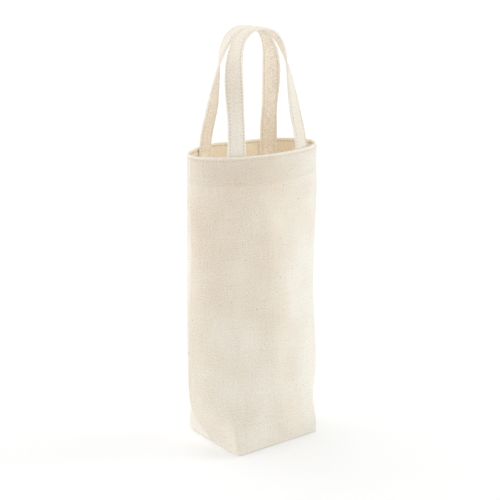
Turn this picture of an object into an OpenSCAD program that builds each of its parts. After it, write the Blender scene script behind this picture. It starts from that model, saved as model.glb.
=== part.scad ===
/* [Base] */
// Width of the boxed base, from side to side
base_w = 93.5; // [84:0.5:112]
// Depth of the boxed base, from front to back
base_d = 80; // [68:1:96]
// Radius of the soft corners of the base
base_corner_r = 4; // [3:0.5:8]

/* [Body] */
// Height from the floor to the rim
bag_h = 270; // [230:1:330]
// Width of the open mouth, over its cloth
mouth_w = 130.5; // [122:0.5:144]
// Depth of the open mouth, over its cloth
mouth_d = 68.5; // [62:0.5:80]
// Degrees by which the mouth is turned against the base
mouth_turn = 2; // [0:0.5:6]
// Height in which the square base eases into the oval body
ease_h = 29; // [24:1:40]

/* [Cloth] */
// Thickness of one layer of canvas
cloth_t = 0.8; // [0.6:0.1:1]
// Depth of the folded hem round the mouth
hem_h = 25; // [20:1:35]
// Width of the seam allowances inside the bag
seam_w = 8; // [7:0.5:10]

/* [Handles] */
// Width of the straps
strap_w = 16; // [13:1:20]
// Thickness of the straps
strap_t = 2; // [1.6:0.1:2.6]
// Distance between the middles of the two legs of a handle
leg_span = 71; // [62:1:78]
// Height of a handle above the rim
handle_h = 104.5; // [86:0.5:130]
// Gap between the tops of the two handles, which lean in over the mouth
handle_gap = 3; // [2:0.5:16]
// Height of the lower end of a strap above the foot of the hem
strap_end_rise = 1.5; // [1:0.1:2.5]

/* [Thread] */
// Thickness of the sewing thread
thread_d = 0.5; // [0.4:0.05:0.6]
// Distance of the upper stitching below the rim
rim_stitch_drop = 3; // [2:0.5:5]
// Distance of the lower stitching above the foot of the hem
hem_stitch_rise = 3; // [3:0.5:5]
// Distance of the stitching of a strap from its edge
strap_stitch_inset = 2; // [1.5:0.1:3]
// Thickness of the overlocking round the seam allowances
overlock_t = 0.5; // [0.4:0.05:0.7]
// Width of the overlocking
overlock_w = 4; // [3:0.5:5]

/* [Hidden] */

// Layers of canvas in the folded hem
hem_layers = 3;
// Layers of canvas in a seam allowance of the base's corners
corner_layers = 2;
// Height in which the edge of a folded layer ends
layer_ease = 0.1;
// Gap between the two panels along their seams
seam_gap = 0.1;
// Gap between pieces that are sewn face to face
seat_gap = 0.25;
// Gap between a thread and the cloth under it
thread_gap = 0.15;
// Gap between a turning leg and its sewn end
fold_gap = 0.3;
// Room of a turning leg inside its fold radius
fold_margin = 1.3;
// Room between the fold radius and the rim
fold_clear = 0.6;
// Room kept at the end of a row of stitches
row_end = 1.5;

hem_t = hem_layers * cloth_t;
hem_foot = bag_h - hem_h;
seam_top = cloth_t + seam_w;
thread_r = thread_d / 2;
corner_top = (1 + corner_layers) * cloth_t;
corner_w = seam_w - cloth_t;
overlock_half = seam_gap / 2 + cloth_t + thread_gap;

// Steps round a panel: down a side of the base, round a corner and along the front
side_steps = 5;
corner_steps = 3;
front_steps = 14;
// Steps up a panel: along the bottom seam and from there to the hem
seam_steps = 2;
body_steps = 13;
// The body's rings, and the steps of its girth, lie closer together near the base
body_power = 1.7;
girth_steps = 30;
mouth_steps = 90;

// Runs along half of the base's outline, from the left seam round the front to the right seam
base_side = base_d / 2 - base_corner_r;
corner_run = PI * base_corner_r / 2;
base_front = base_w - 2 * base_corner_r;
half_run = 2 * (base_side + corner_run) + base_front;
stations = concat(
    [for (i = [0:side_steps - 1]) base_side * i / side_steps],
    [for (i = [0:corner_steps - 1]) base_side + corner_run * i / corner_steps],
    [for (i = [0:front_steps - 1]) base_side + corner_run + base_front * i / front_steps],
    [for (i = [0:corner_steps - 1]) half_run - base_side - corner_run * (1 - i / corner_steps)],
    [for (i = [0:side_steps]) half_run - base_side * (1 - i / side_steps)]
);
last = len(stations) - 1;

function mirrored(p) = [-p.x, p.y];

// Point on the base's outline at a run from the left seam
function base_pt(run) =
    run > half_run / 2 ? mirrored(base_pt(half_run - run)) :
    run < base_side ? [-base_w / 2, -run] :
    run < base_side + corner_run ?
        let (a = 90 * (run - base_side) / corner_run)
        [-base_w / 2 + base_corner_r * (1 - cos(a)), -base_side - base_corner_r * sin(a)] :
    [-base_w / 2 + base_corner_r + run - base_side - corner_run, -base_d / 2];

// Point on the oval mouth at a step of its angle, and the runs at which the steps lie
function oval_pt(i) =
    let (a = 180 + 180 * i / mouth_steps)
    [mouth_w / 2 * cos(a), mouth_d / 2 * sin(a)];
oval_runs = [
    for (i = 0, run = 0; i <= mouth_steps; run = run + norm(oval_pt(i + 1) - oval_pt(i)), i = i + 1)
        [run, i]
];
oval_half = oval_runs[mouth_steps][0];
function mouth_pt(run) = oval_pt(lookup(run / half_run * oval_half, oval_runs));
function run_of_step(i) = lookup(i, [for (r = oval_runs) [r[1], r[0]]]) * half_run / oval_half;

// How far the square outline of the base has become an oval, from 0 to 1, with a soft start
ease_power = 1.9;
function opening(z) = 1 - exp(-pow(max(0, z) / ease_h, ease_power));
function blended(run, w) = (1 - w) * base_pt(run) + w * mouth_pt(run);
function row_length(pts) =
    let (parts = [for (i = [1:len(pts) - 1]) norm(pts[i] - pts[i - 1])])
    parts * [for (part = parts) 1];
function girth(w) = row_length([for (run = stations) blended(run, w)]);

// The cloth's girth goes evenly from the base's to the hem's: each section is filled out to it
fullness = [
    for (i = [0:girth_steps])
        let (rise = pow(i / girth_steps, body_power), w = opening(hem_foot * rise))
        [hem_foot * rise, ((1 - rise) * girth(0) + rise * girth(1)) / girth(w)]
];
function wall_pt(run, z) = lookup(z, fullness) * blended(run, opening(z));
function wall_in(run, z) =
    let (a = wall_pt(max(0, run - cloth_t), z),
         b = wall_pt(min(half_run, run + cloth_t), z),
         t = (b - a) / norm(b - a))
    [-t.y, t.x];
function seam_x(z) = wall_pt(half_run, z).x;

// Above the bottom seam a section turns about the upright axis
function section_turn(z) = -mouth_turn * opening(z - seam_top);
function place(p, z) =
    let (a = section_turn(z))
    [p.x * cos(a) - p.y * sin(a), p.x * sin(a) + p.y * cos(a), z];

function quad(a, b, c, d) = [[a, b, c], [a, c, d]];

// Solid through a row of rings, each counter-clockwise about the way the row runs.
// A ring runs along one side of its section and back along the other, point for point.
module skin(rings, closed = false) {
    m = len(rings[0]);
    n = len(rings);
    spans = closed ? n : n - 1;
    walls = [
        for (k = [0:spans - 1], j = [0:m - 1])
            let (a = k * m, b = (k + 1) % n * m, i = (j + 1) % m)
            each [[a + j, b + j, b + i], [a + j, b + i, a + i]]
    ];
    far = (n - 1) * m;
    caps = closed ? [] : [
        for (j = [0:m / 2 - 2])
            each concat(quad(j, j + 1, m - 2 - j, m - 1 - j),
                        quad(far + m - 1 - j, far + m - 2 - j, far + j + 1, far + j))
    ];
    polyhedron([for (r = rings) each r], concat(walls, caps));
}

// Square section of a thread about a point, with its two cross directions
function thread_ring(c, u, v) =
    [for (q = [[-1, -1], [1, -1], [1, 1], [-1, 1]]) c + thread_r * (q[0] * u + q[1] * v)];

// One panel: half of the wall and half of the floor in one cloth, folded in at its seams.
// Along the sides of the base its allowances lie on the floor, mitred at both ends.
function depth_at(i, z) =
    z > hem_foot ? hem_t :
    z > corner_top || min(i, last - i) >= side_steps ? cloth_t : corner_w;
function panel_ring(z) =
    let (folded = z > hem_foot,
         t = folded ? hem_t : cloth_t,
         tip = seam_x(z) - (folded ? hem_t + cloth_t : seam_w),
         near = -seam_gap / 2,
         far = near - cloth_t,
         end = seam_x(z))
    [for (p = concat(
        [[-end, near]],
        [for (i = [1:last - 1]) wall_pt(stations[i], z)],
        [[end, near], [tip, near], [tip, far], [end - t, far]],
        [for (i = [last - 1:-1:1]) wall_pt(stations[i], z) + depth_at(i, z) * wall_in(stations[i], z)],
        [[t - end, far], [-tip, far], [-tip, near]]
    )) place(p, z)];

levels = concat(
    [0, cloth_t, corner_top, corner_top + layer_ease],
    [for (i = [1:seam_steps]) cloth_t + seam_w * i / seam_steps],
    [for (i = [1:body_steps]) seam_top + (hem_foot - seam_top) * pow(i / body_steps, body_power)],
    [hem_foot + cloth_t, bag_h]
);
ring_n = 2 * last + 6;
top = len(levels) - 1;
seam_level = 3 + seam_steps;
// Places in a ring: the corners of the right and left seam allowances
right_near = last + 1;
right_far = last + 2;
left_far = 2 * last + 4;
left_near = 2 * last + 5;

function strip(i, j, from, to) = [
    for (k = [from:1:to - 1])
        each quad(k * ring_n + i, (k + 1) * ring_n + i, (k + 1) * ring_n + j, k * ring_n + j)
];
// Level face between the panel's outline and the corners of its allowances: a fan to each corner
function level_face(start, step, left, right) =
    let (middle = last / 2)
    concat(
        [for (k = [0:middle - 1]) [start + step * k, start + step * (k + 1), left]],
        [[left, start + step * middle, right]],
        [for (k = [middle:last - 1]) [start + step * k, start + step * (k + 1), right]]
    );
function reversed(faces) = [for (f = faces) [f[2], f[1], f[0]]];
function for_top(i) = top * ring_n + i;

panel_faces = concat(
    [for (i = [0:last]) each strip(i, i + 1, 0, top)],
    strip(right_near, right_far, seam_level, top),
    [for (i = [right_far:left_far - 1]) each strip(i, i + 1, 1, top)],
    strip(left_far, left_near, seam_level, top),
    strip(left_near, 0, 0, top),
    strip(right_near, left_near, 0, seam_level),
    strip(left_far, right_far, 1, seam_level),
    level_face(0, 1, left_near, right_near),
    reversed(level_face(ring_n + left_far - 1, -1, ring_n + left_far, ring_n + right_far)),
    quad(seam_level * ring_n + left_near, seam_level * ring_n + right_near,
         seam_level * ring_n + right_far, seam_level * ring_n + left_far),
    [
        for (i = [0:last - 1])
            each quad(for_top(i + 1), for_top(i), for_top(left_far - 1 - i), for_top(left_far - 2 - i))
    ],
    quad(for_top(0), for_top(left_near), for_top(left_far), for_top(left_far - 1)),
    quad(for_top(last), for_top(right_far + 1), for_top(right_far), for_top(right_near))
);

module panel() { polyhedron([for (z = levels) each panel_ring(z)], panel_faces); }

// The legs stand inside the hem, and the cloth of a leg bends about a fold line above the rim
leg_x = leg_span / 2;
leg_wall = [leg_x, -mouth_d / 2 * sqrt(1 - pow(2 * leg_x / mouth_w, 2))];
leg_angle = atan(pow(mouth_d / mouth_w, 2) * leg_x / -leg_wall.y);
leg_out = [sin(leg_angle), -cos(leg_angle)];
leg_along = [cos(leg_angle), sin(leg_angle)];
leg_curve_r = pow(pow(mouth_w * leg_wall.y / mouth_d, 2) + pow(mouth_d * leg_x / mouth_w, 2), 1.5)
    / (mouth_w * mouth_d / 4);
leg_hollow = pow(strap_w, 2) / (8 * leg_curve_r);
leg_mid = leg_wall - (hem_t + seat_gap + leg_hollow + strap_t / 2) * leg_out;
fold_y = leg_wall.y + hem_t / 2 * cos(leg_angle);
leg_reach = leg_mid.y - fold_y + strap_t / 2 * cos(leg_angle) + strap_w / 2 * sin(leg_angle);
fold_r = leg_reach + fold_margin;
fold_z = bag_h + fold_r + fold_clear;

// Shares of the leg's place, rise and lean at which the handle's curve is drawn in
leg_draw_share = 0.76;
leg_rise_share = 0.4;
leg_lean_share = 0.7;
arch_draw_share = 1.09;
arch_steps = 16;
strap_cuts = 4;

arch = [0, -(strap_w + handle_gap) / 2, bag_h + handle_h - strap_t / 2];
handle_lean = arch.y - leg_mid.y;
leg_top = [leg_mid.x, leg_mid.y, fold_z];
curve = [
    leg_top,
    [leg_mid.x * leg_draw_share, leg_mid.y + handle_lean * leg_lean_share,
     fold_z + (arch.z - fold_z) * leg_rise_share],
    [leg_mid.x * arch_draw_share, arch.y, arch.z],
    arch
];
function curve_pt(s) =
    pow(1 - s, 3) * curve[0] + 3 * s * pow(1 - s, 2) * curve[1]
    + 3 * pow(s, 2) * (1 - s) * curve[2] + pow(s, 3) * curve[3];
function curve_way(s) =
    let (d = pow(1 - s, 2) * (curve[1] - curve[0]) + 2 * s * (1 - s) * (curve[2] - curve[1])
         + pow(s, 2) * (curve[3] - curve[2]))
    s == 0 ? [0, 0, 1] : d / norm(d);

// Outer face and width of the strap: it faces the wall at its foot and up at the top of the arch
function strap_out(s) =
    let (way = curve_way(s),
         flat = [0, -1, 0] + way.y * way,
         front = flat / norm(flat),
         a = leg_angle + (90 - leg_angle) * s)
    cos(a) * front + sin(a) * cross(way, front);
function strap_pt(s, across, out) =
    curve_pt(s) + across * cross(curve_way(s), strap_out(s)) + out * strap_out(s);
strap_section = concat(
    [for (i = [0:strap_cuts]) [(i / strap_cuts - 1 / 2) * strap_w, strap_t / 2]],
    [for (i = [strap_cuts:-1:0]) [(i / strap_cuts - 1 / 2) * strap_w, -strap_t / 2]]
);
function flipped(ring) = [for (p = ring) [-p.x, p.y, p.z]];
function both_legs(rings) =
    concat(rings, [for (k = [len(rings) - 2:-1:0]) flipped(rings[k])]);

// The strap's section at the fold, cut off on a radius about the fold line or at a height
function leg_ring(r) = [
    for (q = strap_section)
        let (p = strap_pt(0, q[0], q[1]))
        [p.x, p.y, fold_z - sqrt(pow(r, 2) - pow(p.y - fold_y, 2))]
];
function end_ring(z) = [for (q = strap_section) let (p = strap_pt(0, q[0], q[1])) [p.x, p.y, z]];

module handle() {
    rows = [
        for (k = [0:arch_steps])
            [for (q = strap_section) strap_pt(k / arch_steps, q[0], q[1])]
    ];
    rotate([0, 0, -mouth_turn]) skin(both_legs(concat([leg_ring(fold_r)], rows)));
}

module handle_ends() {
    right_end = [end_ring(hem_foot + strap_end_rise), leg_ring(fold_r + fold_gap)];
    rotate([0, 0, -mouth_turn]) {
        skin(right_end);
        mirror([1, 0, 0]) skin(right_end);
    }
}

strap_row = strap_w / 2 - strap_stitch_inset;
strap_face = strap_t / 2 + thread_gap + thread_r;

module handle_rows() {
    rotate([0, 0, -mouth_turn])
        for (across = [-strap_row, strap_row], face = [-strap_face, strap_face])
            skin(both_legs([
                for (k = [0:arch_steps])
                    let (s = k / arch_steps, out = strap_out(s))
                    thread_ring(strap_pt(s, across, face), out, cross(curve_way(s), out))
            ]));
}

// Rows on the inner face of a sewn end: along its edges, and where the hem is sewn across it
module end_rows() {
    foot = hem_foot + strap_end_rise;
    for (side = [-1, 1])
        rotate([0, 0, -mouth_turn])
            translate([side * leg_mid.x, leg_mid.y, 0])
                rotate([0, 0, side * leg_angle])
                    translate([0, strap_t / 2 + thread_gap, 0]) {
                        for (x = [-strap_row, strap_row])
                            translate([x - thread_r, 0, foot + row_end])
                                cube([thread_d, thread_d, bag_h - foot - row_end]);
                        for (z = [hem_foot + hem_stitch_rise, bag_h - rim_stitch_drop])
                            translate([thread_d - strap_row, 0, z - thread_r])
                                cube([2 * (strap_row - thread_d), thread_d, thread_d]);
                    }
}

// Rows sewn round the hem: one outside, and inside it one from each strap and seam to the next
leg_run = run_of_step(mouth_steps * acos(2 * leg_x / mouth_w) / 180);
leg_room = strap_w / 2 + row_end;
inner_rows = [
    [cloth_t + 2 * row_end, leg_run - leg_room],
    [leg_run + leg_room, half_run - leg_run - leg_room],
    [half_run - leg_run + leg_room, half_run - cloth_t - 2 * row_end]
];
function turned(p) = [-p.x, -p.y, p.z];
function up_ring(run, z, depth) =
    let (p = wall_pt(run, z) + depth * wall_in(run, z), q = wall_in(run, z),
         out = place(-q, z) - [0, 0, z])
    thread_ring(place(p, z), [0, 0, 1], out);

// Between two stations a row runs straight, as the faces of the panel under it do
function chord_ring(run, z, depth) =
    let (k = lookup(run, [for (i = [0:last]) [stations[i], i]]), i = floor(k))
    (i + 1 - k) * up_ring(stations[i], z, depth) + (k - i) * up_ring(stations[i + 1], z, depth);
function runs_between(from, to) =
    concat([from], [for (run = stations) if (run > from + thread_d && run < to - thread_d) run], [to]);

module hem_row(z) {
    half = [for (i = [0:last - 1]) up_ring(stations[i], z, -thread_gap - thread_r)];
    skin(concat(half, [for (r = half) [for (p = r) turned(p)]]), closed = true);
    for (turn = [0, 180], ends = inner_rows)
        rotate([0, 0, turn])
            skin([
                for (run = runs_between(ends[0], ends[1]))
                    chord_ring(run, z, hem_t + thread_gap + thread_r)
            ]);
}

// Rows and overlocking up a side seam, on the allowances that stand in from it
side_levels = [for (z = levels) if (z > seam_top && z < hem_foot) z];
side_rows = concat(
    [seam_top + row_end], [for (z = side_levels) if (z > seam_top + 2 * row_end) z], [hem_foot - row_end]
);
function upright(z) = place([0, 0], z);
function cross_way(p, z) = place(p, z) - upright(z);

module side_row() {
    for (side = [-1, 1])
        skin([
            for (z = side_rows)
                thread_ring(
                    place([seam_x(z) - row_end - cloth_t, side * (overlock_half + thread_r)], z),
                    cross_way([1, 0], z), cross_way([0, 1], z))
        ]);
}

module side_overlock() {
    out = overlock_half + overlock_t;
    skin([
        for (z = side_rows)
            let (tip = seam_x(z) - seam_w - thread_gap, back = seam_x(z) - seam_w + overlock_w)
            [for (p = [
                [back, out], [tip - overlock_t, out], [tip - overlock_t, -out], [back, -out],
                [back, -overlock_half], [tip, -overlock_half], [tip, overlock_half], [back, overlock_half]
            ]) place(p, z)]
    ]);
}

// Rows and overlocking along the seam across the floor
floor_seam = base_w - 2 * seam_w - 2 * row_end;

module bottom_rows() {
    z = cloth_t + row_end;
    rotate([0, 0, section_turn(z)])
        for (side = [0, 1])
            mirror([0, side, 0])
                translate([-floor_seam / 2, overlock_half, z - thread_r])
                    cube([floor_seam, thread_d, thread_d]);
}

module bottom_sleeve() {
    out = overlock_half + overlock_t;
    high = seam_top + thread_gap;
    low = seam_top - overlock_w;
    rotate([0, 0, section_turn(seam_top)])
        translate([-floor_seam / 2, 0, 0])
            rotate([90, 0, 90])
                linear_extrude(floor_seam)
                    polygon([
                        [out, low], [out, high + overlock_t], [-out, high + overlock_t], [-out, low],
                        [-overlock_half, low], [-overlock_half, high], [overlock_half, high],
                        [overlock_half, low]
                    ]);
}

// Rows and overlocking on the allowances that lie on the floor along the base's sides
corner_start = base_side / side_steps;
corner_row = base_side - 2 * corner_start;

module corner_rows() {
    for (side = [0, 1])
        mirror([0, side, 0])
            translate([base_w / 2 - cloth_t - row_end - thread_d, corner_start, corner_top + thread_gap])
                cube([thread_d, corner_row, thread_d]);
}

module corner_overlock() {
    edge = base_w / 2 - corner_w - thread_gap;
    over = corner_top + thread_gap;
    for (side = [0, 1])
        mirror([0, side, 0])
            translate([0, corner_start + corner_row, 0])
                rotate([90, 0, 0])
                    linear_extrude(corner_row)
                        polygon([
                            [edge, cloth_t + thread_gap], [edge, over], [edge + overlock_w, over],
                            [edge + overlock_w, over + overlock_t], [edge - overlock_t, over + overlock_t],
                            [edge - overlock_t, cloth_t + thread_gap]
                        ]);
}

module on_left() { rotate([0, 0, 180]) children(); }

module front_panel() { color("#e9dfcb") panel(); }
module back_panel() { color("#e4d9c3") rotate([0, 0, 180]) panel(); }
module front_handle() { color("#efe7d6") handle(); }
module back_handle() { color("#eadfca") rotate([0, 0, 180]) handle(); }
module front_handle_ends() { color("#efe7d6") handle_ends(); }
module back_handle_ends() { color("#eadfca") rotate([0, 0, 180]) handle_ends(); }
module rim_stitching() { color("#d9ccb2") hem_row(bag_h - rim_stitch_drop); }
module hem_stitching() { color("#d9ccb2") hem_row(hem_foot + hem_stitch_rise); }
module left_side_stitching() { color("#d9ccb2") on_left() side_row(); }
module right_side_stitching() { color("#d9ccb2") side_row(); }
module bottom_stitching() { color("#d9ccb2") bottom_rows(); }
module left_corner_stitching() { color("#d9ccb2") on_left() corner_rows(); }
module right_corner_stitching() { color("#d9ccb2") corner_rows(); }
module left_side_overlock() { color("#f1ecdf") on_left() side_overlock(); }
module right_side_overlock() { color("#f1ecdf") side_overlock(); }
module bottom_overlock() { color("#f1ecdf") bottom_sleeve(); }
module left_corner_overlock() { color("#f1ecdf") on_left() corner_overlock(); }
module right_corner_overlock() { color("#f1ecdf") corner_overlock(); }
module front_handle_stitching() { color("#d9ccb2") handle_rows(); }
module back_handle_stitching() { color("#d9ccb2") rotate([0, 0, 180]) handle_rows(); }
module front_end_stitching() { color("#d9ccb2") end_rows(); }
module back_end_stitching() { color("#d9ccb2") rotate([0, 0, 180]) end_rows(); }

front_panel();
back_panel();
front_handle();
back_handle();
front_handle_ends();
back_handle_ends();
rim_stitching();
hem_stitching();
left_side_stitching();
right_side_stitching();
bottom_stitching();
left_corner_stitching();
right_corner_stitching();
left_side_overlock();
right_side_overlock();
bottom_overlock();
left_corner_overlock();
right_corner_overlock();
front_handle_stitching();
back_handle_stitching();
front_end_stitching();
back_end_stitching();
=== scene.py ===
import math

import bmesh
import bpy
import numpy as np
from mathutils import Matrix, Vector


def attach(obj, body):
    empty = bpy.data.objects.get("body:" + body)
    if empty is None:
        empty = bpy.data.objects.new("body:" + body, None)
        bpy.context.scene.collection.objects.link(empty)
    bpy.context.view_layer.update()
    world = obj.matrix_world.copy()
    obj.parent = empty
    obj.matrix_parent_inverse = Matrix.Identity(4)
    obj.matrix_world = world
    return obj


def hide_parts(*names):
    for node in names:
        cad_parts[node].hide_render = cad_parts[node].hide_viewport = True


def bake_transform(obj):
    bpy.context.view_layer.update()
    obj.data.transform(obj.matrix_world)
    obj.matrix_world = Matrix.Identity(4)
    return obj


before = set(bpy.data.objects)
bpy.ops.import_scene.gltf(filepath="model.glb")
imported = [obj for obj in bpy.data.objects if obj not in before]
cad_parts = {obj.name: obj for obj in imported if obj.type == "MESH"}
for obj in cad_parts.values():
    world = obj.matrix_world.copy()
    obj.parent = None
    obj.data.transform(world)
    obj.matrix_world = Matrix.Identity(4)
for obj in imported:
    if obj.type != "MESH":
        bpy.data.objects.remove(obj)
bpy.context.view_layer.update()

MM = 0.001

# ------------ the CAD's sizes, in millimetres
base_w, base_d, base_r = 93.5, 80.0, 4.0
bag_h, mouth_w, mouth_d, mouth_turn = 270.0, 130.5, 68.5, 2.0
ease_h, ease_power = 29.0, 1.9
cloth_t, hem_h, seam_w, seam_gap = 0.8, 25.0, 8.0, 0.1
strap_w, strap_t, leg_span = 16.0, 2.0, 71.0
handle_h, handle_gap, end_rise = 104.5, 3.0, 1.5
thread_d, rim_drop, hem_rise, strap_inset, overlock_w = 0.5, 3.0, 3.0, 2.0, 4.0
seat_gap, fold_margin, fold_clear = 0.25, 1.3, 0.6
leg_draw, leg_rise, leg_lean, arch_draw = 0.76, 0.4, 0.7, 1.09

hem_t = 3 * cloth_t
hem_foot = bag_h - hem_h
seam_top = cloth_t + seam_w
rim_row, hem_row = bag_h - rim_drop, hem_foot + hem_rise
strap_row = strap_w / 2 - strap_inset

base_side = base_d / 2 - base_r
corner_run = math.pi * base_r / 2
half_run = 2 * (base_side + corner_run) + base_w - 2 * base_r

# ------------ sizes that only the looks have
HEM_STITCHES = 56  # stitches of a row round half the hem
PITCH = half_run / HEM_STITCHES
STRAP_PITCH = SEAM_PITCH = 3.0
ROW_END = 1.5  # a row of stitches stops this far from the ends of its seam

RIM_R = hem_t / 2  # the rim is a fold of that radius
EDGE_R = 3.6  # soft edge where the wall turns into the floor
SEAM_R = 1.1  # rounding where a panel turns into its seam allowance
INNER, STRAP_INNER = -20.0, -15.0  # third cloth coordinate of the cloth's inner faces

# the soft lie of the empty bag, in millimetres; a name in _A is a direction in radians
PINCH, PINCH_RUN = 1.7, 9.0  # the seams stand out in a ridge above the base
HOLLOW, HOLLOW_RUN = 1.1, 12.0  # and the cloth beside them lies a little in
SWAY, SWAY_WAY = 2.4, np.array([0.81, -0.59])  # the wall is drawn in at the waist on the right
SWAY_Z, SWAY_H = 143, 40
CREASE, CREASE_W = 3.2, 18.0  # a soft fold slants down the front, its right half flatter
CREASE_X, CREASE_Z, CREASE_SLOPE = 5, 25, 0.09
DRAPE, DRAPE_A = 1.6, -2.6  # shallow waves slant down the front's left
LIFT, LIFT_A = 1.3, 2.2  # the rim stands a little higher at the back left
BLUNT, BLUNT_A = 1.4, -2.43  # above the floor the cloth cuts the front left corner short
PUCKER = 0.35  # small puckers at the foot of the wall
# height, times round the bag, height of a turn and phase of the shallow waves all over the wall
WAVES = ((0.55, 3, 31, 0.7), (0.4, 5, -23, 2.1), (0.3, 2, 14, 4.0), (0.22, 9, 19, 0.0))


def smooth(x):
    x = np.clip(x, 0, 1)
    return x * x * (3 - 2 * x)


def unit(v):
    return v / np.linalg.norm(v, axis=-1, keepdims=True)


def runs_of(pts):
    """Length of a row of points up to each of them."""
    return np.r_[0, np.cumsum(np.linalg.norm(np.diff(pts, axis=0), axis=1))]


# ------------ the bag's surface
def base_pt(run):
    """Points of the base's outline, at runs from its left seam round the front to the right."""
    near = np.minimum(run, half_run - run)
    side = np.where(run > half_run / 2, -1.0, 1.0)
    a = np.clip((near - base_side) / base_r, 0, math.pi / 2)
    past_corner = np.maximum(near - base_side - corner_run, 0)
    x = -base_w / 2 + base_r * (1 - np.cos(a)) + past_corner
    y = -np.minimum(near, base_side) - base_r * np.sin(a)
    return np.stack([x * side, y], -1)


oval_a = np.linspace(math.pi, 2 * math.pi, 1801)
oval_xy = np.stack([mouth_w / 2 * np.cos(oval_a), mouth_d / 2 * np.sin(oval_a)], -1)
oval_runs = runs_of(oval_xy)


def mouth_pt(run):
    a = np.interp(run / half_run * oval_runs[-1], oval_runs, oval_a)
    return np.stack([mouth_w / 2 * np.cos(a), mouth_d / 2 * np.sin(a)], -1)


def run_of_angle(a):
    return np.interp(a, oval_a, oval_runs) * half_run / oval_runs[-1]


def opening(z):
    """How far the base's outline has become the oval of the body, from 0 to 1."""
    return 1 - np.exp(-(np.maximum(z, 0) / ease_h) ** ease_power)


def row_length(pts):
    return np.linalg.norm(np.diff(pts, axis=0), axis=1).sum()


girth_runs = np.linspace(0, half_run, 241)
girth_share = np.linspace(0, 1, 61) ** 1.7
blends = [row_length((1 - w) * base_pt(girth_runs) + w * mouth_pt(girth_runs))
          for w in opening(hem_foot * girth_share)]
# the cloth's girth goes evenly from the base's to the hem's, and each section is filled out to it
fullness = (blends[0] + girth_share * (blends[-1] - blends[0])) / np.array(blends)


def flat_pt(run, z):
    """Points of the front panel's outer face in plan, before the section turns and settles."""
    w = opening(z)[..., None]
    full = np.interp(z, hem_foot * girth_share, fullness)[..., None]
    p = full * ((1 - w) * base_pt(run) + w * mouth_pt(run))
    rise = smooth((z - 0.5) / 8) * (1 - smooth((z - 60) / 120))
    near = np.minimum(run, half_run - run)
    hollow = HOLLOW * near / HOLLOW_RUN * np.exp(1 - near / HOLLOW_RUN)
    ridge = PINCH * np.exp(-near / PINCH_RUN) - hollow
    ridge = ridge * rise * np.where(run > half_run / 2, 1.0, -1.0)
    return p + np.stack([ridge, np.zeros_like(ridge)], -1)


def wall(run, z, depth=0.0):
    """Points of the front panel before its section turns: depth runs inwards from the outside."""
    run, z, depth = np.broadcast_arrays(*(np.asarray(v, float) for v in (run, z, depth)))
    a = flat_pt(np.maximum(run - cloth_t, 0), z)
    b = flat_pt(np.minimum(run + cloth_t, half_run), z)
    t = unit(b - a)
    inward = np.stack([-t[..., 1], t[..., 0]], -1)
    return np.concatenate([flat_pt(run, z) + depth[..., None] * inward, z[..., None]], -1)


def seam_x(z):
    """Half the width over the outer faces at the side seams."""
    z = np.asarray(z, float)
    return flat_pt(np.full_like(z, half_run), z)[..., 0]


def spun(p, degrees):
    a = np.radians(degrees)
    c, s = np.cos(a), np.sin(a)
    return np.stack([p[..., 0] * c - p[..., 1] * s, p[..., 0] * s + p[..., 1] * c, p[..., 2]], -1)


def turned_from(a, b):
    """The angle from b to a, from -pi to pi."""
    return (a - b + math.pi) % (2 * math.pi) - math.pi


def round_about(a, middle, spread):
    """Share of a form that stands in one direction and fades to both sides of it."""
    return np.exp(-(turned_from(a, middle) / spread) ** 2)


def settled(p):
    """The soft lie of the empty bag: waves, the fold, the waist and the puckers at the base."""
    x, y, z = p[..., 0], p[..., 1], p[..., 2]
    a = np.arctan2(y, x)
    r = np.hypot(x, y)
    near_axis = smooth(r / 25)
    out = np.stack([x, y], -1) / np.maximum(r, 1e-6)[..., None] * near_axis[..., None]
    middle = smooth(z / 30) * smooth((bag_h - 8 - z) / 45)
    wave = sum(size * np.sin(times * a + z / turn + phase)
               for size, times, turn, phase in WAVES) * middle
    left = round_about(a, DRAPE_A, 0.5) * smooth(z / 25) * smooth((bag_h - 12 - z) / 40)
    wave = wave + DRAPE * left * np.sin(z / 17 - 6 * a)
    off = x - CREASE_X + CREASE_SLOPE * (z - CREASE_Z)
    fold = np.exp(-(np.abs(off) / CREASE_W) ** 1.6) * smooth(-y / 14)
    wave = wave + CREASE * fold * smooth((z - 3) / 20) * smooth((bag_h + 10 - z) / 60)
    foot = np.exp(-z / 16) * smooth(z / 5)
    wave = wave + PUCKER * foot * np.sin(11 * a + z / 3.2)
    reach = smooth((x * SWAY_WAY[0] + y * SWAY_WAY[1]) / 55)
    waist = -SWAY * np.exp(-((z - SWAY_Z) / SWAY_H) ** 2) * reach
    corner = round_about(a, BLUNT_A, 0.2)
    wave = wave - BLUNT * corner * smooth((z - 1) / 12) * (1 - smooth((z - 22) / 40))
    shift = out * wave[..., None] + waist[..., None] * SWAY_WAY
    lift = LIFT * round_about(a, LIFT_A, 0.4) * smooth((z - 200) / 60) * near_axis
    return np.concatenate([p[..., :2] + shift, (z + lift)[..., None]], -1)


def on_bag(p, turn=0.0):
    """A point of a section, turned as the section is, on the front (0) or the back (180)."""
    return settled(spun(p, turn - mouth_turn * opening(p[..., 2] - seam_top)))


# ------------ mesh helpers
def grid_faces(rows, cols, close_cols=False):
    i, j = np.meshgrid(np.arange(rows - 1), np.arange(cols if close_cols else cols - 1),
                       indexing="ij")
    low, high = i * cols, (i + 1) * cols
    k = (j + 1) % cols
    return np.stack([low + j, low + k, high + k, high + j], -1).reshape(-1, 4)


def border(rows, cols):
    """Numbers of a grid's points, once round its border."""
    cells = [(0, c) for c in range(cols)] + [(r, cols - 1) for r in range(1, rows)]
    cells += [(rows - 1, c) for c in range(cols - 2, -1, -1)]
    cells += [(r, 0) for r in range(rows - 2, 0, -1)]
    return [r * cols + c for r, c in cells]


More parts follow.
